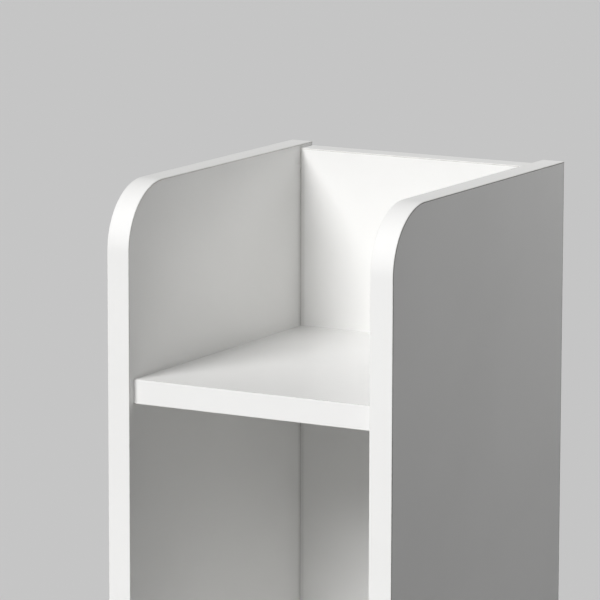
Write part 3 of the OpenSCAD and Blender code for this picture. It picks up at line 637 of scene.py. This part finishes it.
def cam_cover_caps(plastic):
    """Press-in caps with a soft rim and a low dome, under the tray shelf and the niche shelf."""
    low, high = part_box("cam_caps")
    rim = CAM_CAP_R - CAM_CAP_ROUND
    rise = CAM_CAP_CROWN - CAM_CAP_WALL
    profile = [(0.0, 0.0), (CAM_CAP_R, 0.0)]
    profile += arc((rim, CAM_CAP_WALL), (CAM_CAP_R - rim, rise), 0, 90, CAM_CAP_STEPS)
    profile += [(rim * s, CAM_CAP_T - (CAM_CAP_T - CAM_CAP_CROWN) * s * s) for s in CAM_CAP_RINGS]
    profile.append((0.0, CAM_CAP_T))
    bm = bmesh.new()
    for shelf in ("tray_shelf", "niche_shelf"):
        for x in (low.x + CAM_CAP_R, high.x - CAM_CAP_R):
            for y in CAM_CAP_DEPTHS:
                lathe(bm, profile, Vector((x, y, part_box(shelf)[0].z)), -Z)
    make_piece("cam_cover_caps", bm, "carcass", "white_plastic", ["cam_caps"], plastic)


def sharp_edges(bm):
    """Convex edges between two faces that meet at a sharp angle."""
    return [e for e in bm.edges if len(e.link_faces) == 2 and e.is_convex
            and e.calc_face_angle(0.0) > EASED_ABOVE]


def outline_corners(bm, node, axis):
    """The sharp edges along axis at the corners of the node's box."""
    low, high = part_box(node)
    others = [i for i in range(3) if i != axis]
    corners = []
    for edge in sharp_edges(bm):
        a, b = (v.co for v in edge.verts)
        along = abs((b - a).normalized()[axis]) > 0.99
        if along and all(min(abs(a[i] - low[i]), abs(a[i] - high[i])) < AT_BOX_SIDE for i in others):
            corners.append(edge)
    return corners


def round_off(bm, edges, radius, steps):
    bmesh.ops.bevel(bm, geom=edges, offset=radius, offset_type="OFFSET", segments=steps, profile=0.5,
                    affect="EDGES", clamp_overlap=True)


def eased(node, name, body, slot, material, edge, outline=None):
    """A copy of a CAD part with its edges rounded by the radius edge.
    outline is (axis, radius) for the corners of the shape seen along that axis."""
    bm = bmesh.new()
    bm.from_mesh(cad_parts[node].data)
    bmesh.ops.remove_doubles(bm, verts=bm.verts, dist=WELD)
    bmesh.ops.dissolve_limit(bm, angle_limit=FLAT_BELOW, verts=bm.verts, edges=bm.edges)
    if outline:
        axis, radius = outline
        round_off(bm, outline_corners(bm, node, axis), radius, OUTLINE_STEPS)
    round_off(bm, sharp_edges(bm), edge, EASE_STEPS)
    make_piece(name, bm, body, slot, [node], material)


def build_camera():
    data = bpy.data.cameras.new("camera")
    data.lens, data.sensor_width = CAMERA_LENS, CAMERA_SENSOR
    data.clip_start, data.clip_end = CAMERA_NEAR, CAMERA_FAR
    camera = bpy.data.objects.new("camera", data)
    turn = Matrix.Rotation(math.radians(CAMERA_AZIMUTH), 4, "Z")
    turn @= Matrix.Rotation(math.radians(90 - CAMERA_PITCH), 4, "X")
    turn @= Matrix.Rotation(math.radians(CAMERA_ROLL), 4, "Z")
    camera.matrix_world = Matrix.Translation(CAMERA_PLACE) @ turn
    bpy.context.scene.collection.objects.link(camera)
    bpy.context.scene.camera = camera


def shown_directly(nodes, links):
    """1 for rays that come from the camera, a mirror or glass, and 0 for light on the object."""
    path = nodes.new("ShaderNodeLightPath")
    total = path.outputs["Is Camera Ray"]
    for kind in ("Is Glossy Ray", "Is Transmission Ray"):
        add = nodes.new("ShaderNodeMath")
        add.operation, add.use_clamp = "ADD", True
        links.new(total, add.inputs[0])
        links.new(path.outputs[kind], add.inputs[1])
        total = add.outputs[0]
    return total


def grey(level):
    return (level, level, level, 1.0)


def build_world():
    """Soft light from all round, which the camera sees as the pale colour of the floor."""
    daylight = SUN_LEVEL * math.sin(math.radians(SUN_ELEVATION)) + WORLD_LEVEL
    world = bpy.data.worlds.new("studio")
    bpy.context.scene.world = world
    world.use_nodes = True
    nodes, links = world.node_tree.nodes, world.node_tree.links
    light = nodes["Background"]
    light.inputs["Color"].default_value = grey(1.0)
    light.inputs["Strength"].default_value = WORLD_LEVEL
    seen = nodes.new("ShaderNodeBackground")
    seen.inputs["Color"].default_value = grey(FLOOR_ALBEDO * daylight + FLOOR_LIFT)
    choose = nodes.new("ShaderNodeMixShader")
    links.new(shown_directly(nodes, links), choose.inputs[0])
    links.new(light.outputs[0], choose.inputs[1])
    links.new(seen.outputs[0], choose.inputs[2])
    links.new(choose.outputs[0], nodes["World Output"].inputs["Surface"])


def floor_material():
    """Matt pale floor that keeps shadows, lifted only where it is seen directly."""
    f = Finish("pale_floor", Roughness=0.9, Specular_IOR_Level=0.0)
    f.shader.inputs["Base Color"].default_value = grey(FLOOR_ALBEDO)
    f.shader.inputs["Emission Color"].default_value = grey(1.0)
    seen = f.times(shown_directly(f.nodes, f.links), FLOOR_LIFT)
    f.links.new(seen, f.shader.inputs["Emission Strength"])
    return f.material


def build_floor():
    bm = bmesh.new()
    corners = [(-1, -1), (1, -1), (1, 1), (-1, 1)]
    bm.faces.new([bm.verts.new((x * FLOOR_REACH, y * FLOOR_REACH, 0.0)) for x, y in corners])
    mesh = bpy.data.meshes.new("floor")
    bm.to_mesh(mesh)
    bm.free()
    floor = bpy.data.objects.new("floor", mesh)
    bpy.context.scene.collection.objects.link(floor)
    shade(floor, floor_material())


def add_lamp(name, data, place, towards):
    """A lamp whose back faces along towards, so that it shines the other way."""
    lamp = bpy.data.objects.new(name, data)
    lamp.location = place
    lamp.rotation_mode = "QUATERNION"
    lamp.rotation_quaternion = towards.to_track_quat("Z", "Y")
    lamp.visible_camera = False
    bpy.context.scene.collection.objects.link(lamp)


def build_lamps():
    """A broad key from the front left and a weak fill from the rear right."""
    key = bpy.data.lights.new("key", "SUN")
    key.energy = math.pi * SUN_LEVEL
    key.angle = math.radians(SUN_SPREAD)
    a, e = math.radians(SUN_AZIMUTH), math.radians(SUN_ELEVATION)
    towards = Vector((-math.sin(a) * math.cos(e), -math.cos(a) * math.cos(e), math.sin(e)))
    add_lamp("key", key, SUN_PLACE, towards)
    fill = bpy.data.lights.new("fill", "AREA")
    fill.shape, fill.size, fill.energy = "DISK", FILL_SIZE, FILL_WATTS
    add_lamp("fill", fill, FILL_PLACE, Vector(FILL_PLACE) - Vector(FILL_AIM))


def finish_boards():
    """White faces and raw cores on every board, by the axis of its thickness."""
    back_low, back_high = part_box("back_board")
    rims = {}
    for side, end in (("left", 0), ("right", 1)):
        low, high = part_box(f"side_{side}_band")
        rims[f"side_{side}"] = (low.y, high.z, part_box(f"side_{side}")[end].x)
    # A corner entry paints shade on the faces where the sides meet the back board
    for board, axis, corner in (
        ("side_left", 0, (1, back_low.y, back_low.x)),
        ("side_right", 0, (1, back_low.y, back_high.x)),
        ("back_board", 1, (0, back_high.x, back_low.y)),
        ("plinth", 1, None),
        ("door", 1, None),
        ("tray_shelf", 2, None),
        ("niche_shelf", 2, None),
        ("bottom_panel", 2, None),
        ("loose_shelf", 2, None),
    ):
        low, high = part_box(board)
        finish = board_finish(f"{board}_faces", axis, low[axis], high[axis], corner, rims.get(board))
        shade(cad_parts[board], finish)


def finish_fittings(steel):
    """Finishes of the small CAD parts that keep their shape."""
    for material, parts in (
        (steel, ["knob_screw", "catch_screws", "strike_screw", "back_screws", "glide_nails", "cam_bolts",
                 "door_pivot_pins"]),
        (die_cast_finish(), ["cam_locks"]),
        (ferrite_finish(), ["catch_magnet"]),
        (beech_finish(), ["wood_dowels"]),
    ):
        for part in parts:
            shade(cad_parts[part], material)


def ease_fittings(steel):
    """Moulded and pressed parts, with the soft edges that such parts have."""
    plastic, plate = plastic_finish(), plate_steel_finish()
    cam_cover_caps(plastic)
    for node, name, body, slot, material, edge, outline in (
        ("catch_housing", "catch_housing_moulded", "carcass", "white_plastic", plastic, 0.35, (0, 2 * MM)),
        ("glides", "glide_discs", "carcass", "white_plastic", plastic, 0.25, None),
        ("door_pivot_bushes", "door_bushes_moulded", "door", "white_plastic", plastic, 0.15, None),
        ("carcass_pivot_bushes", "carcass_bushes_moulded", "carcass", "white_plastic", plastic, 0.15, None),
        ("strike_plate", "strike_plate_pressed", "door", "plate_steel", plate, 0.12, (1, 1.5 * MM)),
        ("catch_pole_plates", "pole_plates_pressed", "carcass", "plate_steel", plate, 0.12, None),
        ("shelf_pins", "shelf_pins_formed", "carcass", "zinc_steel", steel, 0.2, None),
    ):
        eased(node, name, body, slot, material, edge * MM, outline)


BAND_WHITE = [band_finish(axis) for axis in range(3)]
BAND_GLUE = glue_finish()
ZINC_STEEL = zinc_steel_finish()

build_camera()
build_world()
build_floor()
build_lamps()
finish_boards()
finish_fittings(ZINC_STEEL)
for side in ("left", "right"):
    side_bands(side)
for board in ("tray_shelf", "niche_shelf", "bottom_panel"):
    front_band(board, END_GAP)
front_band("loose_shelf", 0.0)
back_band()
door_bands()
turned_knob()
ease_fittings(ZINC_STEEL)

bpy.context.scene.view_settings.view_transform = "Standard"
